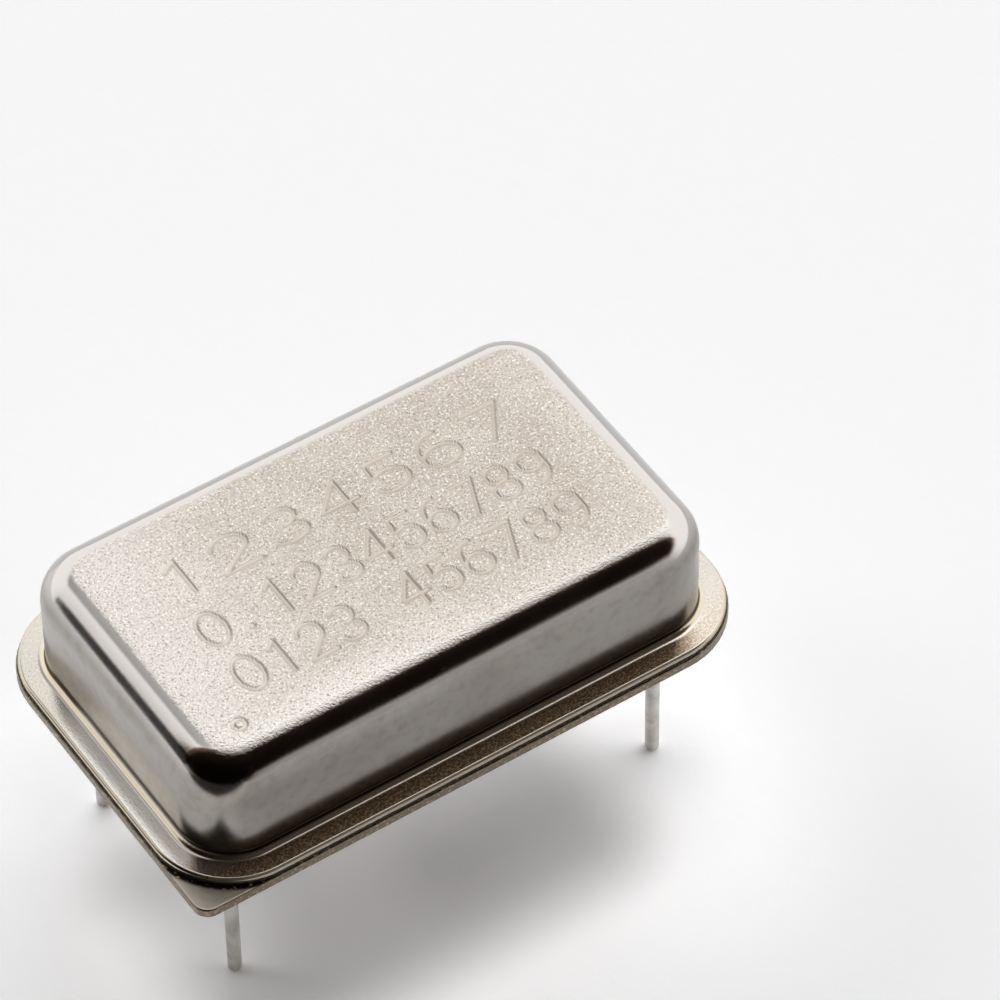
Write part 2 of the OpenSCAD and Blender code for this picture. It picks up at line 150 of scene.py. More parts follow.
def towards(turn, height=0.0):
    # A direction from its turn round the vertical and its height above level, in degrees
    turn, height = math.radians(turn), math.radians(height)
    return (math.cos(turn) * math.cos(height), math.sin(turn) * math.cos(height), math.sin(height))


def along(tree, vector, axis):
    made = addNode(tree, "VectorMath", operation="DOT_PRODUCT")
    plug(tree, made.inputs[0], vector)
    plug(tree, made.inputs[1], axis)
    return made.outputs["Value"]


def opaque(color):
    return color if isinstance(color, bpy.types.NodeSocket) else (*color[:3], 1.0)


def mixColor(tree, share, a, b, blend="MIX"):
    # Inputs 0, 6 and 7 of the node are its share and its two colors
    made = addNode(tree, "Mix", data_type="RGBA", blend_type=blend)
    plug(tree, made.inputs[0], share)
    plug(tree, made.inputs[6], opaque(a))
    plug(tree, made.inputs[7], opaque(b))
    return made.outputs[2]


def setFinish(tree, shader, color, rough, height, depth, metal=0.0):
    # depth is how far a height of 1 stands out
    plug(tree, shader.inputs["Base Color"], color)
    plug(tree, shader.inputs["Metallic"], metal)
    plug(tree, shader.inputs["Roughness"], rough)
    raised = addNode(tree, "Bump", {"Height": height, "Distance": depth, "Strength": 1.0})
    plug(tree, shader.inputs["Normal"], raised.outputs["Normal"])


def dress(names, material):
    for name in names:
        slots = nodes[name].data.materials
        if len(slots) == 0:
            slots.append(material)
        for index in range(len(slots)):
            slots[index] = material


def addPiece(name, mesh, material):
    mesh.polygons.foreach_set("use_smooth", [True] * len(mesh.polygons))
    mesh.materials.append(material)
    piece = bpy.data.objects.new(name, mesh)
    bpy.context.scene.collection.objects.link(piece)
    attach(piece, "root")
    return piece


# The can: a drawn sheet with its flange, engraved on top

canSizes = {
    "sheet": 0.25 * mm,
    "wallRadius": 1.8 * mm,
    "topRadius": 1.2 * mm,
    "footRadius": 0.25 * mm,
    "flangeWidth": 0.85 * mm,
    "flangeEdgeRadius": 0.11 * mm,
    "cornerSteps": 18,
    "topSteps": 16,
    "smallSteps": 7,
    "sideSteps": (24, 14),            # along the long and the short sides
    "topLedge": 0.06 * mm,            # plain rim of the flat top, before its bend
}

engraving = {
    "rows": [
        # digits, height, width, pitch, x of the first digit, y of the middle, in millimetres
        ("1234567", 1.34, 1.26, 1.81, -5.35, 1.98),
        ("0.123456789", 1.34, 0.84, 1.13, -5.62, -0.22),
        ("0123 456789", 1.34, 0.84, 1.13, -5.62, -2.22),
    ],
    "stroke": 0.13 * mm,
    "edge": 0.05 * mm,                # width of the sloping side of a groove
    "depth": 0.016 * mm,
    "ring": (-6.87 * mm, -3.70 * mm),
    "ringRadius": 0.19 * mm,
    "cell": 0.056 * mm,
    "gridMargin": (0.55 * mm, 0.10 * mm),
}


def arc(x, y, rx, ry, start, end, steps=14):
    angles = [math.radians(start + (end - start) * k / steps) for k in range(steps + 1)]
    return [(x + rx * math.cos(t), y + ry * math.sin(t)) for t in angles]


# Strokes of each digit, in a box one unit high and one wide, from its middle
digitStrokes = {
    "0": [arc(0, 0, 0.5, 0.5, 0, 360, 32)],
    "1": [[(-0.25, 0.3), (0.08, 0.5), (0.08, -0.5)]],
    "2": [arc(0, 0.2, 0.46, 0.3, 170, -35) + [(-0.5, -0.5), (0.5, -0.5)]],
    "3": [arc(0, 0.25, 0.4, 0.25, 150, -90), arc(0, -0.25, 0.48, 0.25, 90, -150)],
    "4": [[(0.22, -0.5), (0.22, 0.5), (-0.5, -0.2), (0.5, -0.2)]],
    "5": [[(0.42, 0.5), (-0.34, 0.5), (-0.4, 0.08)] + arc(0, -0.18, 0.48, 0.32, 130, -150)],
    "6": [arc(0.08, 0.0, 0.56, 0.5, 80, 180) + arc(0, -0.2, 0.48, 0.3, 180, 540, 28)],
    "7": [[(-0.48, 0.5), (0.48, 0.5), (-0.15, -0.5)]],
    "8": [arc(0, 0.26, 0.4, 0.24, 0, 360, 26), arc(0, -0.24, 0.48, 0.26, 0, 360, 28)],
    "9": [arc(-0.08, 0.0, 0.56, 0.5, -100, 0) + arc(0, 0.2, 0.48, 0.3, 0, 360, 28)],
    ".": [arc(-0.1, -0.42, 0.05, 0.03, 0, 360, 12)],
}


def strokeDistance(x, y, line):
    nearest = np.full(x.shape, 1.0)
    for (ax, ay), (bx, by) in zip(line, line[1:]):
        dx, dy = bx - ax, by - ay
        share = np.clip(((x - ax) * dx + (y - ay) * dy) / (dx * dx + dy * dy), 0, 1)
        nearest = np.minimum(nearest, np.hypot(x - ax - share * dx, y - ay - share * dy))
    return nearest


def engravedShare(x, y):
    # 1 in a groove, 0 on the plain top, and a short slope between
    distance = np.full(x.shape, 1.0)
    for digits, *sizes in engraving["rows"]:
        height, width, pitch, firstX, middleY = (c * mm for c in sizes)
        for place, digit in enumerate(digits):
            if digit == " ":
                continue
            localX = x - firstX - place * pitch
            localY = y - middleY
            near = (abs(localX) < height) & (abs(localY) < height)
            for line in digitStrokes[digit]:
                scaled = [(width * px, height * py) for px, py in line]
                found = strokeDistance(localX[near], localY[near], scaled)
                distance[near] = np.minimum(distance[near], found)
    ringX, ringY = engraving["ring"]
    ring = abs(np.hypot(x - ringX, y - ringY) - engraving["ringRadius"])
    distance = np.minimum(distance, ring)
    half, edge = engraving["stroke"] / 2, engraving["edge"]
    share = np.clip((half + edge / 2 - distance) / edge, 0, 1)
    return share * share * (3 - 2 * share)


def canSection(low, high):
    # Outline of the sheet from the edge of the flat top, out and down to the flange, and back up inside
    s = canSizes
    t, topR, footR, edgeR = s["sheet"], s["topRadius"], s["footRadius"], s["flangeEdgeRadius"]
    edgeX = s["flangeWidth"] - edgeR
    outer = arc(-topR, high - topR, topR, topR, 90, 0, s["topSteps"])
    outer += arc(footR, low + t + footR, footR, footR, 180, 270, s["smallSteps"])
    outer += arc(edgeX, low + t - edgeR, edgeR, edgeR, 90, 0, s["smallSteps"])
    outer += arc(edgeX, low + edgeR, edgeR, edgeR, 0, -90, s["smallSteps"])
    inner = arc(footR, low + t + footR, footR + t, footR + t, 270, 180, s["smallSteps"])
    inner += arc(-topR, high - topR, topR - t, topR - t, 0, 90, s["topSteps"])
    return outer + inner


def ringAround(halfX, halfY, offset, z):
    # One closed loop round the wall's rounded rectangle, moved out by offset
    s = canSizes
    radius = s["wallRadius"]
    reach = radius + offset
    loop = []
    corners = [(1, 1, 0), (-1, 1, 90), (-1, -1, 180), (1, -1, 270)]
    for index, (sx, sy, start) in enumerate(corners):
        cx, cy = sx * (halfX - radius), sy * (halfY - radius)
        for k in range(s["cornerSteps"] + 1):
            t = math.radians(start + 90 * k / s["cornerSteps"])
            loop.append((cx + reach * math.cos(t), cy + reach * math.sin(t), z))
        nx, ny, nextStart = corners[(index + 1) % 4]
        t = math.radians(nextStart)
        endX = nx * (halfX - radius) + reach * math.cos(t)
        endY = ny * (halfY - radius) + reach * math.sin(t)
        startX, startY = loop[-1][:2]
        steps = s["sideSteps"][index % 2]
        for k in range(1, steps):
            loop.append((startX + (endX - startX) * k / steps, startY + (endY - startY) * k / steps, z))
    return loop


def engravedGrid(work, halfX, halfY, top):
    # A fine grid that carries the grooves, with its border in order and each point's share of groove
    across = round(2 * halfX / engraving["cell"])
    deep = round(2 * halfY / engraving["cell"])
    x, y = np.meshgrid(np.linspace(-halfX, halfX, across + 1), np.linspace(-halfY, halfY, deep + 1))
    share = engravedShare(x, y)
    z = top - engraving["depth"] * share
    grid = [[work.verts.new((x[j, i], y[j, i], z[j, i])) for i in range(across + 1)]
            for j in range(deep + 1)]
    for near, far in zip(grid, grid[1:]):
        for i in range(across):
            work.faces.new((near[i], near[i + 1], far[i + 1], far[i]))
    border = grid[0][:-1] + [row[-1] for row in grid[:-1]]
    border += grid[-1][:0:-1] + [row[0] for row in grid[:0:-1]]
    return border, share.ravel()


def buildCan(material):
    low, high = (Vector(c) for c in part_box("can"))
    halfX = high.x - canSizes["flangeWidth"]
    halfY = high.y - canSizes["flangeWidth"]
    work = bmesh.new()
    loops = []
    for offset, z in canSection(low.z, high.z):
        loops.append([work.verts.new(p) for p in ringAround(halfX, halfY, offset, z)])
    count = len(loops[0])
    for upper, lower in zip(loops, loops[1:]):
        for k in range(count):
            n = (k + 1) % count
            work.faces.new((upper[k], lower[k], lower[n], upper[n]))
    work.faces.new(loops[-1])    # the inner face of the top
    # The flat top: the engraved grid, a plain rim at the bend, and a filled strip between them
    marginX, marginY = engraving["gridMargin"]
    gridX = halfX - canSizes["topRadius"] - marginX
    gridY = halfY - canSizes["topRadius"] - marginY
    border, share = engravedGrid(work, gridX, gridY, high.z)
    inward = -canSizes["topRadius"] - canSizes["topLedge"]
    rim = [work.verts.new(p) for p in ringAround(halfX, halfY, inward, high.z)]
    for k in range(count):
        n = (k + 1) % count
        work.faces.new((rim[k], loops[0][k], loops[0][n], rim[n]))
    edges = [work.edges.get((a, b)) for a, b in zip(rim, rim[1:] + rim[:1])]
    edges += [work.edges.get((a, b)) for a, b in zip(border, border[1:] + border[:1])]
    bmesh.ops.triangle_fill(work, edges=edges, use_beauty=True, normal=(0, 0, 1))
    bmesh.ops.recalc_face_normals(work, faces=work.faces)
    mesh = bpy.data.meshes.new("canSheet")
    work.to_mesh(mesh)
    work.free()
    gridStart = len(loops) * count
    values = np.zeros(len(mesh.vertices), np.float32)
    values[gridStart:gridStart + len(share)] = share
    mesh.attributes.new("engraved", "FLOAT", "POINT").data.foreach_set("value", values)
    piece = addPiece("canSheet", mesh, material)
    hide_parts("can")
    return piece


canFinish = {
    # Some of these colors are painted light: the paler rim, paler bends and golden lines are painted
    # highlights, and the darker walls, foot and long front flange are painted shade
    "color": (0.394, 0.348, 0.302),
    "pale": (0.455, 0.414, 0.366),
    "rim": (0.62, 0.58, 0.545),
    "wall": (0.325, 0.305, 0.275),
    "bend": (0.52, 0.495, 0.47),
    "flange": (0.50, 0.465, 0.41),
    "flangeEdgeHighlight": (0.52, 0.45, 0.33),
    "foot": (0.06, 0.045, 0.03),
    "footHighlightColor": (0.60, 0.50, 0.33),
    "flangeSheen": (0.83, 0.80, 0.74),
    "shadeBrown": (0.22, 0.14, 0.08),
    "shadeBrownFleck": (0.62, 0.45, 0.26),
    "pit": (0.20, 0.165, 0.13),
    "fleck": (0.74, 0.72, 0.69),
    "groove": (0.36, 0.30, 0.24),
    "grooveSideShade": (0.15, 0.12, 0.09),
    "scuff": (0.20, 0.175, 0.15),
    "topRoughness": 0.24,
    "wallRoughness": 0.18,
    "bendRoughness": 0.10,
    "flangeRoughness": 0.13,
    "grainSize": 0.078 * mm,
    "grainDepth": 0.025 * mm,
    "blotchSize": 2.4 * mm,
    "scuffSize": 0.35 * mm,
    "flatZone": (6.3 * mm, 2.7 * mm),        # half length and width of the quite flat middle
    "flatFall": 14.0,                        # how fast the top falls away round it
    "rimWidth": 1.7 * mm,
    "frontReach": (-3 * mm, 7 * mm),         # where the painted sheen on the rim grows towards the index corner
    "leftReach": (-1 * mm, -9 * mm),         # and towards the left end
    "flangeSheenX": (-7 * mm, -9 * mm),
    "flangeSheenY": (2.7 * mm, 1.2 * mm),
    "frontFlangeShadeX": (6.2 * mm, 8.6 * mm),
    "frontFlangeShadeY": (-4.4 * mm, -5.6 * mm),
    "frontFlangeShadeDepthY": (-5.5 * mm, -6.2 * mm),
    "flangeHeight": (0.5 * mm, 0.3 * mm),    # heights above the plate, from the wall's finish to the next
    "footHeight": (0.62 * mm, 0.48 * mm),
    "rolledHeight": (0.252 * mm, 0.235 * mm),
}


def canMetal():
    look = canFinish
    material, tree, shader = newMaterial("canNickel")
    coords = objectCoords(tree)
    place = split(tree, coords)
    above = minus(tree, place["Z"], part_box("can")[0][2])
    facing = split(tree, addNode(tree, "NewGeometry").outputs["Normal"])
    normal = facing["Z"]
    onTop = ramp(tree, normal, 0.972, 0.9995)
    onBend = ramp(tree, normal, 0.35, 0.7)
    onFlange = ramp(tree, above, *look["flangeHeight"])
    engraved = addNode(tree, "Attribute", attribute_name="engraved").outputs["Fac"]
    plain = minus(tree, 1.0, engraved)
    grain = noise(tree, coords, look["grainSize"], 3.0, 0.68)
    blotch = noise(tree, coords, look["blotchSize"], 4.0, 0.6)
    scuffs = noise(tree, coords, look["scuffSize"], 5.0, 0.65)

    # Painted sheen: the top is paler at its rim in front and towards its left end
    shade = mixColor(tree, ramp(tree, blotch, 0.35, 0.68), look["color"], look["pale"])
    away = outside(tree, place, (0, 0), look["flatZone"])
    front = ramp(tree, along(tree, coords, towards(-135)), *look["frontReach"], 0.15, 1.0)
    rimSheenShare = times(tree, ramp(tree, away, 0, look["rimWidth"], 0, 0.8), front)
    rimSheenShare = larger(tree, rimSheenShare, ramp(tree, place["X"], *look["leftReach"], 0, 0.75))
    shade = mixColor(tree, rimSheenShare, shade, look["rim"])

    # The flange is painted brighter at the short side next to the square corner: a painted sheen
    flangeSheen = times(tree, ramp(tree, place["X"], *look["flangeSheenX"]), ramp(tree, place["Y"], *look["flangeSheenY"]))
    shade = mixColor(tree, onFlange, shade, mixColor(tree, flangeSheen, look["flange"], look["flangeSheen"]))

    # Painted shade: along the long front side the flange is made dark brown and duller
    frontFlangeShade = times(tree, onFlange, ramp(tree, place["Y"], *look["frontFlangeShadeY"]),
                 ramp(tree, place["X"], *look["frontFlangeShadeX"], 1.0, 0.25))
    brownShade = mixColor(tree, ramp(tree, grain, 0.42, 0.62), look["shadeBrown"], look["shadeBrownFleck"])
    shade = mixColor(tree, frontFlangeShade, shade, brownShade)
    frontFlangeShade = times(tree, frontFlangeShade, ramp(tree, place["Y"], *look["frontFlangeShadeDepthY"], 0.6, 1.0))

    # Dark pits and pale flecks of the etched grain, weaker on the flange
    grainShare = ramp(tree, onFlange, 0, 1, 0.85, 0.3)
    pits = ramp(tree, grain, 0.30, 0.47, grainShare, 0.0)
    flecks = ramp(tree, grain, 0.53, 0.68, 0.0, grainShare)
    shade = mixColor(tree, times(tree, pits, plain), shade, look["pit"])
    shade = mixColor(tree, times(tree, flecks, plain), shade, look["fleck"])

    # Grooves are a little darker, with a thin dark edge of painted shade along their sloping sides
    grooveSideShade = times(tree, engraved, plain, 4.0)
    shade = mixColor(tree, times(tree, engraved, 0.5), shade, look["groove"])
    shade = mixColor(tree, times(tree, grooveSideShade, 0.4), shade, look["grooveSideShade"])

    # The walls are scuffed and painted darker as shade, and the bends are painted paler as a highlight
    wall = mixColor(tree, ramp(tree, scuffs, 0.44, 0.74, 0, 0.42), look["wall"], look["scuff"])
    wall = mixColor(tree, ramp(tree, blotch, 0.42, 0.7, 0, 0.35), wall, look["scuff"])
    side = mixColor(tree, onBend, wall, look["bend"])
    shade = mixColor(tree, onTop, side, shade)

    # The narrow bend at the foot of the wall has a painted golden highlight above and painted shade
    # below, except where the flange has its painted sheen
    foot = ramp(tree, above, *look["footHeight"])
    footHighlightShare = times(tree, ramp(tree, normal, 0.58, 0.72), ramp(tree, normal, 0.92, 0.84))
    shade = mixColor(tree, times(tree, foot, footHighlightShare), shade, look["footHighlightColor"])
    foot = times(tree, foot, ramp(tree, flangeSheen, 0, 1, 1.0, 0.15), ramp(tree, normal, 0.7, 0.45))
    shade = mixColor(tree, foot, shade, look["foot"])
    # Painted golden highlight on the rounded outer edge of the flange
    flangeEdgeHighlightShare = times(tree, ramp(tree, above, *look["rolledHeight"]), ramp(tree, normal, 0.99, 0.9))
    shade = mixColor(tree, flangeEdgeHighlightShare, shade, look["flangeEdgeHighlight"])

    rough = ramp(tree, onBend, 0, 1, look["wallRoughness"], look["bendRoughness"], False)
    rough = ramp(tree, onTop, 0, 1, rough, look["topRoughness"], False)
    rough = ramp(tree, onFlange, 0, 1, rough, look["flangeRoughness"], False)
    rough = plus(tree, rough, ramp(tree, grain, 0.3, 0.7, -0.02, 0.03))
    rough = plus(tree, rough, ramp(tree, blotch, 0.3, 0.7, -0.01, 0.03))

    # The grain runs further down over the long front bend than over the others
    grainStart = ramp(tree, facing["Y"], -0.08, -0.35, 0.982, 0.86)
    height = times(tree, grain, plain, ramp(tree, normal, grainStart, 1.0, 0.03, 1.0))
    height = times(tree, height, ramp(tree, onFlange, 0, 1, 1.0, 0.12), look["grainDepth"])
    # The flat top falls away a little towards its edges
    fall = times(tree, away, away, minus(tree, 1.0, onFlange), look["flatFall"])
    metal = ramp(tree, frontFlangeShade, 0, 1, 1.0, 0.5, False)
    setFinish(tree, shader, shade, rough, minus(tree, height, fall), 1.0, metal)
    return material


canSheet = buildCan(canMetal())
print("can built:", len(canSheet.data.polygons), "faces")


# Weld seam in the crevice between the flange and the plate; its near-black colour is painted shade in the
# crevice, with brown flecks

seam = {
    "radius": 0.062 * mm,
    "inset": 0.035 * mm,             # how far its middle lies inside the edge of the flange
    "rise": 0.55,                    # height of its middle above the plate, in radii
    "ragged": 0.35,                  # how much its radius varies
    "raggedSize": 0.18 * mm,
    "lump": 0.25,                    # how much its width varies besides, on a finer scale
    "lumpScale": 2.7,
    "spacing": 0.05 * mm,
    "around": 8,
    # Nearly black: painted shade in the crevice
    "color": (0.006, 0.005, 0.004),
    "brown": (0.05, 0.032, 0.018),
    "spark": (0.5, 0.38, 0.22),
    "speckSize": 0.05 * mm,
    "speckDepth": 0.012 * mm,
}


def outlineWalk(halfX, halfY, radius, spacing):
    # Points on a rounded rectangle with their outward directions
    points = []
    for sx, sy, start in [(1, 1, 0), (-1, 1, 90), (-1, -1, 180), (1, -1, 270)]:
        centre = Vector((sx * (halfX - radius), sy * (halfY - radius)))
        steps = max(6, round(radius * math.pi / 2 / spacing))
        for k in range(steps):
            t = math.radians(start + 90 * k / steps)
            out = Vector((math.cos(t), math.sin(t)))
            points.append((centre + out * radius, out))
        t = math.radians(start + 90)
        out = Vector((math.cos(t), math.sin(t)))
        run = 2 * ((halfX if start % 180 == 0 else halfY) - radius)
        step = Vector((-out.y, out.x)) * run
        first = centre + out * radius
        steps = round(run / spacing)
        points += [(first + step * k / steps, out) for k in range(steps)]
    return points


def buildSeam(material):
    low, high = (Vector(c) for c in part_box("can"))
    reach = canSizes["wallRadius"] + canSizes["flangeWidth"] - seam["inset"]
    walk = outlineWalk(high.x - seam["inset"], high.y - seam["inset"], reach, seam["spacing"])
    count, around = len(walk), seam["around"]
    vertices = []
    for point, out in walk:
        here = Vector((point.x, point.y, 0)) / seam["raggedSize"]
        size = seam["radius"] * (1 + seam["ragged"] * mathutils.noise.noise(here))
        lump = seam["lump"] * mathutils.noise.noise(here * seam["lumpScale"] + Vector((0, 0, 5)))
        for j in range(around):
            t = 2 * math.pi * j / around
            side = point + out * (size * (1 + lump) * math.cos(t))
            vertices.append((side.x, side.y, low.z + size * (seam["rise"] + math.sin(t))))
    faces = []
    for k in range(count):
        this, after = k * around, (k + 1) % count * around
        for j in range(around):
            n = (j + 1) % around
            faces.append((this + j, after + j, after + n, this + n))
    mesh = bpy.data.meshes.new("weldSeam")
    mesh.from_pydata(vertices, [], faces)
    mesh.update()
    return addPiece("weldSeam", mesh, material)


def seamMetal():
    material, tree, shader = newMaterial("seamOxideAndShade")
    speck = noise(tree, objectCoords(tree), seam["speckSize"], 3.0, 0.6)
    # Nearly black with brown flecks: painted shade in the crevice, on a weld seam
    shade = mixColor(tree, ramp(tree, speck, 0.4, 0.65), seam["color"], seam["brown"])
    shade = mixColor(tree, ramp(tree, speck, 0.66, 0.74), shade, seam["spark"])
    rough = ramp(tree, speck, 0.3, 0.7, 0.6, 0.35)
    setFinish(tree, shader, shade, rough, speck, seam["speckDepth"], 0.3)
    return material


weldSeam = buildSeam(seamMetal())
print("seam built:", len(weldSeam.data.polygons), "faces")


# The header: plate, leads, glass and feet

plateFinish = {
    "color": (0.42, 0.375, 0.32),
    "stain": (0.36, 0.30, 0.245),
    "tint": (0.32, 0.31, 0.345),
    "edge": (0.19, 0.155, 0.105),
    "edgeFleck": (0.48, 0.40, 0.28),
    "top": (0.55, 0.50, 0.42),
    "flangeShadowColor": (0.012, 0.009, 0.008),
    "flangeShadowFleck": (0.36, 0.25, 0.12),
    "topRoughness": 0.34,
    "roughness": 0.30,
    "grainSize": 0.11 * mm,
    "grainDepth": 0.006 * mm,
    "stainSize": 3.0 * mm,
    "tintSize": 5.1 * mm,
    "flangeShadowReach": (0.12 * mm, 0.26 * mm),    # from full to nothing, outside the flange
}


def plateMetal():
    look = plateFinish
    material, tree, shader = newMaterial("plateNickel")
    coords = objectCoords(tree)
    normal = split(tree, addNode(tree, "NewGeometry").outputs["Normal"])["Z"]
    onTop = ramp(tree, normal, 0.7, 0.95)
    onEdge = ramp(tree, maths(tree, "ABSOLUTE", normal), 0.9, 0.4)
    grain = noise(tree, coords, look["grainSize"], 3.0, 0.6)
    stain = noise(tree, coords, look["stainSize"], 5.0, 0.62, 0.4)
    tint = noise(tree, coords, look["tintSize"], 3.0, 0.5, 0.8)
    shade = mixColor(tree, ramp(tree, stain, 0.42, 0.66), look["color"], look["stain"])
    shade = mixColor(tree, ramp(tree, tint, 0.5, 0.75, 0, 0.7), shade, look["tint"])
    # The sides are painted darker and the top paler: painted shade and light by the way they face
    shade = mixColor(tree, onEdge, shade, look["edge"])
    shade = mixColor(tree, times(tree, onEdge, ramp(tree, grain, 0.5, 0.7)), shade, look["edgeFleck"])
    shade = mixColor(tree, times(tree, onTop, 0.6), shade, look["top"])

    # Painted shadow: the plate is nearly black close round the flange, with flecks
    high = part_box("can")[1]
    reach = canSizes["wallRadius"] + canSizes["flangeWidth"]
    away = outside(tree, split(tree, coords), (0, 0), (high[0] - reach, high[1] - reach))
    inner, outer = look["flangeShadowReach"]
    flangeShadowShare = times(tree, ramp(tree, away, reach + inner, reach + outer, 1, 0), onTop)
    flangeShadowColor = mixColor(tree, ramp(tree, grain, 0.56, 0.66), look["flangeShadowColor"], look["flangeShadowFleck"])
    shade = mixColor(tree, flangeShadowShare, shade, flangeShadowColor)

    rough = ramp(tree, onTop, 0, 1, look["roughness"], look["topRoughness"], False)
    rough = plus(tree, rough, ramp(tree, grain, 0.3, 0.7, -0.03, 0.05))
    rough = plus(tree, rough, ramp(tree, stain, 0.4, 0.7, 0, 0.05))
    height = times(tree, grain, ramp(tree, onTop, 0, 1, 1.0, 0.25))
    setFinish(tree, shader, shade, rough, height, look["grainDepth"], 1.0)
    return material


leadFinish = {
    "color": (0.78, 0.765, 0.73),
    "dull": (0.60, 0.58, 0.54),
    "roughness": 0.40,
    "drawnSize": 0.05 * mm,
    "drawnStretch": (1, 1, 0.06),    # the drawing lines run along the wire
    "drawnDepth": 0.003 * mm,
    "patchSize": 0.7 * mm,
}


def leadMetal():
    look = leadFinish
    material, tree, shader = newMaterial("leadPlate")
    drawn = noise(tree, objectCoords(tree, look["drawnStretch"]), look["drawnSize"], 3.0, 0.6)
    patch = noise(tree, objectCoords(tree), look["patchSize"], 4.0, 0.6)
    shade = mixColor(tree, ramp(tree, patch, 0.4, 0.7), look["color"], look["dull"])
    rough = ramp(tree, drawn, 0.3, 0.7, look["roughness"] - 0.05, look["roughness"] + 0.09)
    setFinish(tree, shader, shade, rough, drawn, look["drawnDepth"], 1.0)
    return material


glassLook = {
    "kinds": {
        # color, other color, dust, roughness
        "sealGlass": ((0.012, 0.014, 0.014), (0.03, 0.026, 0.022), (0.12, 0.11, 0.1), 0.12),
        "cobaltGlass": ((0.012, 0.014, 0.20), (0.02, 0.022, 0.30), (0.10, 0.11, 0.4), 0.08),
    },
    "cloudSize": 0.5 * mm,
    "cloudDepth": 0.006 * mm,
    "dustSize": 0.05 * mm,
    "bending": 1.52,                 # index of refraction
    "coat": 0.5,
    "coatRoughness": 0.04,
}


def glass(name):
    look = glassLook
    color, other, dustColor, roughness = look["kinds"][name]
    material, tree, shader = newMaterial(name)
    coords = objectCoords(tree)
    cloud = noise(tree, coords, look["cloudSize"], 3.0, 0.6)
    dust = noise(tree, coords, look["dustSize"], 2.0, 0.5)
    shade = mixColor(tree, ramp(tree, cloud, 0.35, 0.7), color, other)
    shade = mixColor(tree, ramp(tree, dust, 0.66, 0.76, 0, 0.35), shade, dustColor)
    shader.inputs["IOR"].default_value = look["bending"]
    shader.inputs["Coat Weight"].default_value = look["coat"]
    shader.inputs["Coat Roughness"].default_value = look["coatRoughness"]
    rough = ramp(tree, dust, 0.4, 0.8, roughness, roughness + 0.12)
    setFinish(tree, shader, shade, rough, cloud, look["cloudDepth"])
    return material


brazeLook = ((0.66, 0.62, 0.54), (0.5, 0.46, 0.4), 0.25)    # color, dull color, roughness
ripples = {"size": 0.25 * mm, "depth": 0.008 * mm}           # of metal that has flowed


def flowedMetal(name, color, dull, roughness):
    material, tree, shader = newMaterial(name)
    ripple = noise(tree, objectCoords(tree), ripples["size"], 3.0, 0.55, 0.6)
    shade = mixColor(tree, ramp(tree, ripple, 0.4, 0.7), color, dull)
    rough = ramp(tree, ripple, 0.3, 0.7, roughness - 0.05, roughness + 0.1)
    setFinish(tree, shader, shade, rough, ripple, ripples["depth"], 1.0)
    return material


leadNames = ("index", "ground", "output", "supply")
dress(["base_plate"], plateMetal())
dress(["lead_" + name for name in leadNames], leadMetal())
dress(["glass_seal_" + name for name in leadNames if name != "ground"], glass("sealGlass"))
dress(["ground_braze"], flowedMetal("groundBraze", *brazeLook))
dress(["standoff_bead_" + name for name in leadNames], glass("cobaltGlass"))
print("header dressed")


# Inside the can

firedLooks = {
    # nodes, color, other color, size of the grain, its depth, roughness, glossy coat
    "alumina": (["substrate"],
                (0.86, 0.84, 0.78), (0.78, 0.76, 0.7), 0.04 * mm, 0.002 * mm, 0.5, 0),
    "resistorPrint": (["resistor_print"],
                      (0.02, 0.02, 0.022), (0.045, 0.045, 0.05), 0.03 * mm, 0.003 * mm, 0.55, 0),
    "greenGlaze": (["resistor_glaze"],
                   (0.05, 0.22, 0.11), (0.09, 0.30, 0.17), 0.05 * mm, 0.002 * mm, 0.2, 0.5),
    "siliconChip": (["oscillator_chip"],
                    (0.10, 0.11, 0.16), (0.2, 0.2, 0.26), 0.06 * mm, 0.0005 * mm, 0.18, 0.6),
    "silverPaste": (["die_attach", "adhesive_left", "adhesive_right"],
                    (0.46, 0.46, 0.44), (0.34, 0.34, 0.33), 0.03 * mm, 0.004 * mm, 0.45, 0),
    "capacitorBody": (["capacitor_body"],
                      (0.36, 0.25, 0.16), (0.28, 0.19, 0.12), 0.04 * mm, 0.003 * mm, 0.5, 0),
}

flowedLooks = {
    # nodes, color, dull color, roughness
    "silverPrint": (["conductor_print"], (0.72, 0.71, 0.67), (0.6, 0.58, 0.54), 0.4),
    "solderFlow": (["solder_" + name for name in leadNames] + ["capacitor_solder", "clip_solder"],
                   (0.66, 0.67, 0.68), (0.5, 0.51, 0.52), 0.28),
    "bondGold": (["bond_wires"], (0.95, 0.72, 0.29), (0.8, 0.56, 0.2), 0.2),
    "tinnedCap": (["capacitor_cap_left", "capacitor_cap_right"],
                  (0.72, 0.72, 0.7), (0.58, 0.58, 0.56), 0.35),
    "silverFilm": (["electrode_upper", "electrode_lower"],
                   (0.9, 0.89, 0.86), (0.82, 0.8, 0.76), 0.18),
    "clipStrip": (["crystal_clip_left", "crystal_clip_right"],
                  (0.66, 0.63, 0.56), (0.55, 0.52, 0.45), 0.3),
}

quartzLook = {
    "color": (0.93, 0.95, 0.96),
    "other": (0.86, 0.89, 0.92),
    "clear": 0.85,
    "bending": 1.54,                 # index of refraction
    "lapSize": 0.05 * mm,
    "lapDepth": 0.001 * mm,
    "roughness": (0.12, 0.24),
}


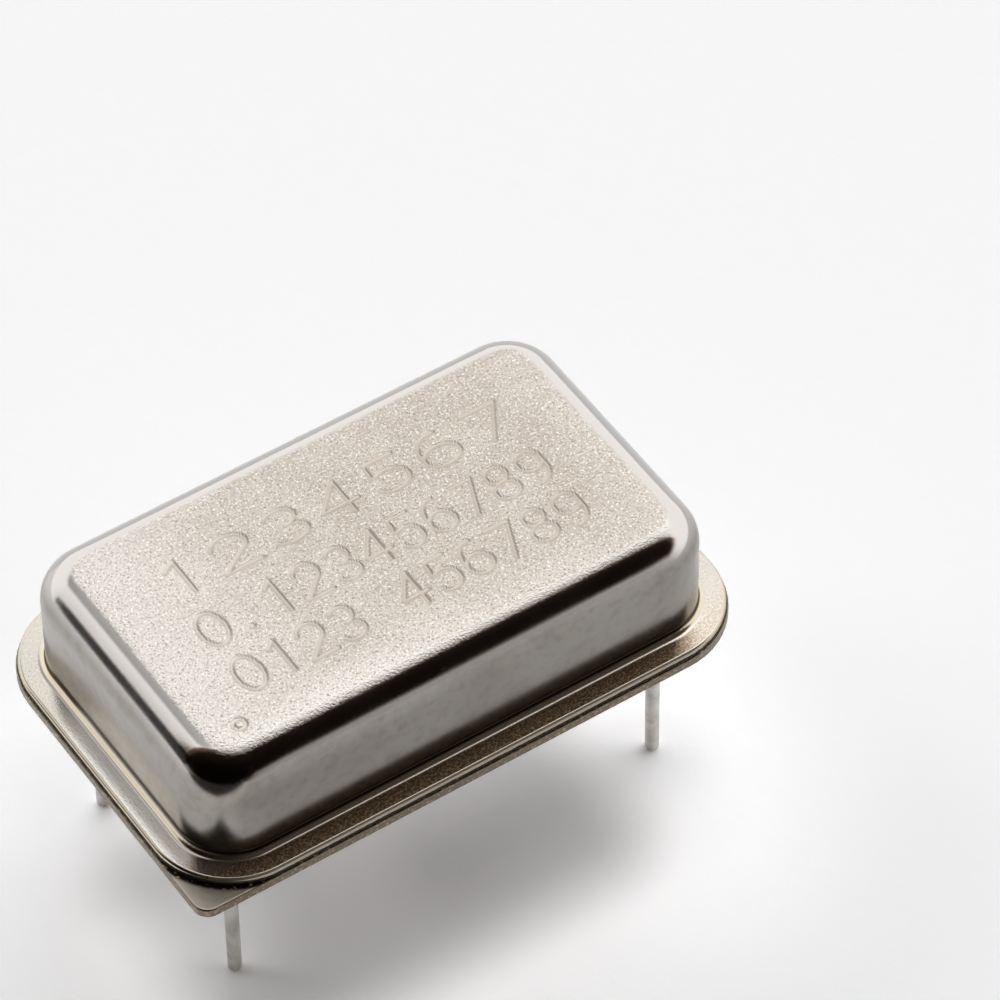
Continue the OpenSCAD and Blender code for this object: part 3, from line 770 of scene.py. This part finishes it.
def firedMaterial(name, color, other, size, depth, roughness, coat):
    material, tree, shader = newMaterial(name)
    coords = objectCoords(tree)
    cloud = noise(tree, coords, size * 12, 4.0, 0.6)
    grain = noise(tree, coords, size, 3.0, 0.6)
    share = ramp(tree, plus(tree, times(tree, cloud, 0.6), times(tree, grain, 0.4)), 0.35, 0.68)
    shader.inputs["Coat Weight"].default_value = coat
    rough = ramp(tree, grain, 0.3, 0.7, roughness - 0.06, roughness + 0.08)
    setFinish(tree, shader, mixColor(tree, share, color, other), rough, grain, depth)
    return material


def clearQuartz():
    look = quartzLook
    material, tree, shader = newMaterial("clearQuartz")
    lap = noise(tree, objectCoords(tree), look["lapSize"], 2.0, 0.5)
    shade = mixColor(tree, ramp(tree, lap, 0.3, 0.7), look["color"], look["other"])
    shader.inputs["Transmission Weight"].default_value = look["clear"]
    shader.inputs["IOR"].default_value = look["bending"]
    rough = ramp(tree, lap, 0.3, 0.7, *look["roughness"])
    setFinish(tree, shader, shade, rough, lap, look["lapDepth"])
    return material


for name, (parts, *look) in firedLooks.items():
    dress(parts, firedMaterial(name, *look))
for name, (parts, *look) in flowedLooks.items():
    dress(parts, flowedMetal(name, *look))
dress(["crystal_blank"], clearQuartz())
print("inside dressed")


# The floor: pale paper, with painted shadow under the part and painted paler and darker zones round it

floorLook = {
    "size": 2.0,
    "color": (0.90, 0.90, 0.90),       # the color that it lights the part with
    "seen": (1.20, 1.215, 1.235),      # the color that it shows
    "fibre": (0.6, 0.6, 0.6),
    "fibreSize": 0.6 * mm,
    "fibreDepth": 0.01 * mm,
    "shadeCentre": (-2.0 * mm, -2.9 * mm),
    "shadeHalf": (5.7 * mm, 2.8 * mm),
    "shadeNear": 3.3 * mm,
    "shadeFar": 11.8 * mm,
    "tone": (0.98, 0.115, 0.49),       # under the part, and what is added near and further out
    "spots": [
        # painted spots of light and shade: middle, half length and width, reach, and how much paler
        ((-8.3 * mm, -2.2 * mm), (0, 0), 4.2 * mm, 0.38),
        ((3.6 * mm, -4.0 * mm), (3.6 * mm, 0), 3.2 * mm, -0.2),
        ((-8.0 * mm, 5.5 * mm), (0, 0), 3.5 * mm, -0.11),
    ],
    "endTurn": -145,                   # where it ends in front, for the shiny metal alone
    "endReach": (17 * mm, 28 * mm),
    "endSlant": 0.9,
    "endShare": 0.04,
    "besideReach": (-9 * mm, -13 * mm),
    "besideShare": 1.28,               # how much brighter it is past the left end, to shiny and clear surfaces: painted light in their reflections
    "roughness": 0.9,
    "shine": 0.1,
}


def floorTone(tree, place):
    # Painted shadow: a little paler round the part than right under it, with painted spots, paler and
    # darker
    look = floorLook
    away = outside(tree, place, look["shadeCentre"], look["shadeHalf"])
    near = ramp(tree, away, 0, look["shadeNear"])
    far = ramp(tree, away, look["shadeNear"], look["shadeFar"], 1, 0, False)
    under, nearLift, farLift = look["tone"]
    lift = plus(tree, times(tree, far, far, farLift), nearLift)
    tone = plus(tree, times(tree, near, lift), under)
    for centre, half, reach, change in look["spots"]:
        away = outside(tree, place, centre, half)
        tone = times(tree, tone, ramp(tree, away, 0, reach, 1 + change, 1.0))
    return tone


def floorPaper():
    look = floorLook
    material, tree, shader = newMaterial("paleFloor")
    coords = objectCoords(tree)
    place = split(tree, coords)
    paper = noise(tree, coords, look["fibreSize"], 4.0, 0.6)
    rays = addNode(tree, "LightPath").outputs
    shown = larger(tree, rays["Is Glossy Ray"], rays["Is Transmission Ray"])
    shown = larger(tree, rays["Is Camera Ray"], shown)
    beside = ramp(tree, place["X"], *look["besideReach"], 1.0, look["besideShare"])
    tone = ramp(tree, rays["Is Camera Ray"], 0, 1, beside, floorTone(tree, place), False)
    bright = mixColor(tree, 1.0, look["seen"], tone, "MULTIPLY")

    # Painted dark reflection: it ends in front of the part, where only the shiny metal sees it
    ahead = along(tree, coords, towards(look["endTurn"]))
    aside = maths(tree, "ABSOLUTE", along(tree, coords, towards(look["endTurn"] + 90)))
    ahead = minus(tree, ahead, times(tree, aside, look["endSlant"]))
    end = ramp(tree, ahead, *look["endReach"], 1.0, look["endShare"])
    end = larger(tree, end, minus(tree, 1.0, rays["Is Glossy Ray"]))
    bright = mixColor(tree, 1.0, bright, end, "MULTIPLY")
    shade = mixColor(tree, shown, look["color"], bright)
    shade = mixColor(tree, ramp(tree, paper, 0.3, 0.7, 0, 0.015), shade, look["fibre"])
    shader.inputs["Specular IOR Level"].default_value = look["shine"]
    setFinish(tree, shader, shade, look["roughness"], paper, look["fibreDepth"])
    return material


def buildFloor():
    half, z = floorLook["size"] / 2, cadBox[0][2]
    corners = [(-half, -half, z), (half, -half, z), (half, half, z), (-half, half, z)]
    mesh = bpy.data.meshes.new("floor")
    mesh.from_pydata(corners, [], [(0, 1, 2, 3)])
    mesh.materials.append(floorPaper())
    floor = bpy.data.objects.new("floor", mesh)
    bpy.context.scene.collection.objects.link(floor)


# The room: a soft bright sky with a dark half in front, by direction in degrees

room = {
    "sky": 1.55,
    "overhead": 1.5,                         # how much brighter it is overhead
    "overheadRise": (0.70, 0.88),
    "darkTowards": (-122.7, 10.5),           # turn and height of the middle of the dark half
    "darkRise": (-0.01, 0.07),
    "darkDepth": 0.925,
    "blackRise": (0.14, 0.21),
    "blackDepth": 0.89,
    "darkColor": (1.0, 0.66, 0.44),
    "lowTurn": -140,                         # here the dark half comes down to the floor
    "lowShare": 0.45,
    "highRise": (0.28, 0.52),
    "dimTurn": -135,                         # and on this side the sky is dimmer as a whole
    "dimRise": (-0.35, 0.9),
    "dimDepth": 0.88,
    "patches": [
        # turn and height, where it begins and is full, and how dark
        ((100, 56), (0.94, 0.984), 0.66),
        ((150, 13), (0.965, 0.99), 0.93),
    ],
}


def buildWorld():
    world = bpy.data.worlds.new("softRoom")
    world.use_nodes = True
    bpy.context.scene.world = world
    tree = world.node_tree
    back = tree.nodes["Background"]
    direction = addNode(tree, "TexCoord").outputs["Generated"]
    up = split(tree, direction)["Z"]
    side = along(tree, direction, towards(*room["darkTowards"]))
    low = times(tree, along(tree, direction, towards(room["lowTurn"])), room["lowShare"])
    high = ramp(tree, plus(tree, up, low), *room["highRise"])
    dark = times(tree, ramp(tree, side, *room["darkRise"]), high)
    black = times(tree, ramp(tree, side, *room["blackRise"]), high)
    sky = ramp(tree, up, *room["overheadRise"], room["sky"], room["sky"] * room["overhead"])
    sky = times(tree, sky, ramp(tree, dark, 0, 1, 1.0, 1 - room["darkDepth"], False))
    sky = times(tree, sky, ramp(tree, black, 0, 1, 1.0, 1 - room["blackDepth"], False))
    dim = along(tree, direction, towards(room["dimTurn"]))
    sky = times(tree, sky, ramp(tree, dim, *room["dimRise"], 1.0, 1 - room["dimDepth"]))
    for middle, rise, depth in room["patches"]:
        patch = ramp(tree, along(tree, direction, towards(*middle)), *rise)
        sky = times(tree, sky, ramp(tree, patch, 0, 1, 1.0, 1 - depth, False))
    plug(tree, back.inputs["Strength"], sky)
    plug(tree, back.inputs["Color"], mixColor(tree, dark, (1, 1, 1), room["darkColor"]))


view = {
    "turn": 33.047,
    "height": 48.784,
    "roll": -0.797,
    "distance": 190.014 * mm,
    "aim": (6.220 * mm, 2.472 * mm, 0.5 * mm),
    "lens": 6.1896,                          # in sensor widths
    "sensor": 36.0,
    "clipStart": 0.005,
}


def buildCamera():
    turn, height, roll = (math.radians(view[name]) for name in ("turn", "height", "roll"))
    ahead = Vector((math.sin(turn) * math.cos(height), math.cos(turn) * math.cos(height),
                    -math.sin(height)))
    level = Vector((math.cos(turn), -math.sin(turn), 0))
    above = level.cross(ahead)
    right = level * math.cos(roll) + above * math.sin(roll)
    upward = above * math.cos(roll) - level * math.sin(roll)
    data = bpy.data.cameras.new("camera")
    data.sensor_width = view["sensor"]
    data.lens = view["lens"] * view["sensor"]
    data.clip_start = view["clipStart"]
    camera = bpy.data.objects.new("camera", data)
    bpy.context.scene.collection.objects.link(camera)
    turned = Matrix((right, upward, -ahead)).transposed().to_4x4()
    camera.matrix_world = Matrix.Translation(Vector(view["aim"]) - ahead * view["distance"]) @ turned
    bpy.context.scene.camera = camera


buildFloor()
buildWorld()
buildCamera()
bpy.context.scene.view_settings.view_transform = "Standard"
print("stage set")
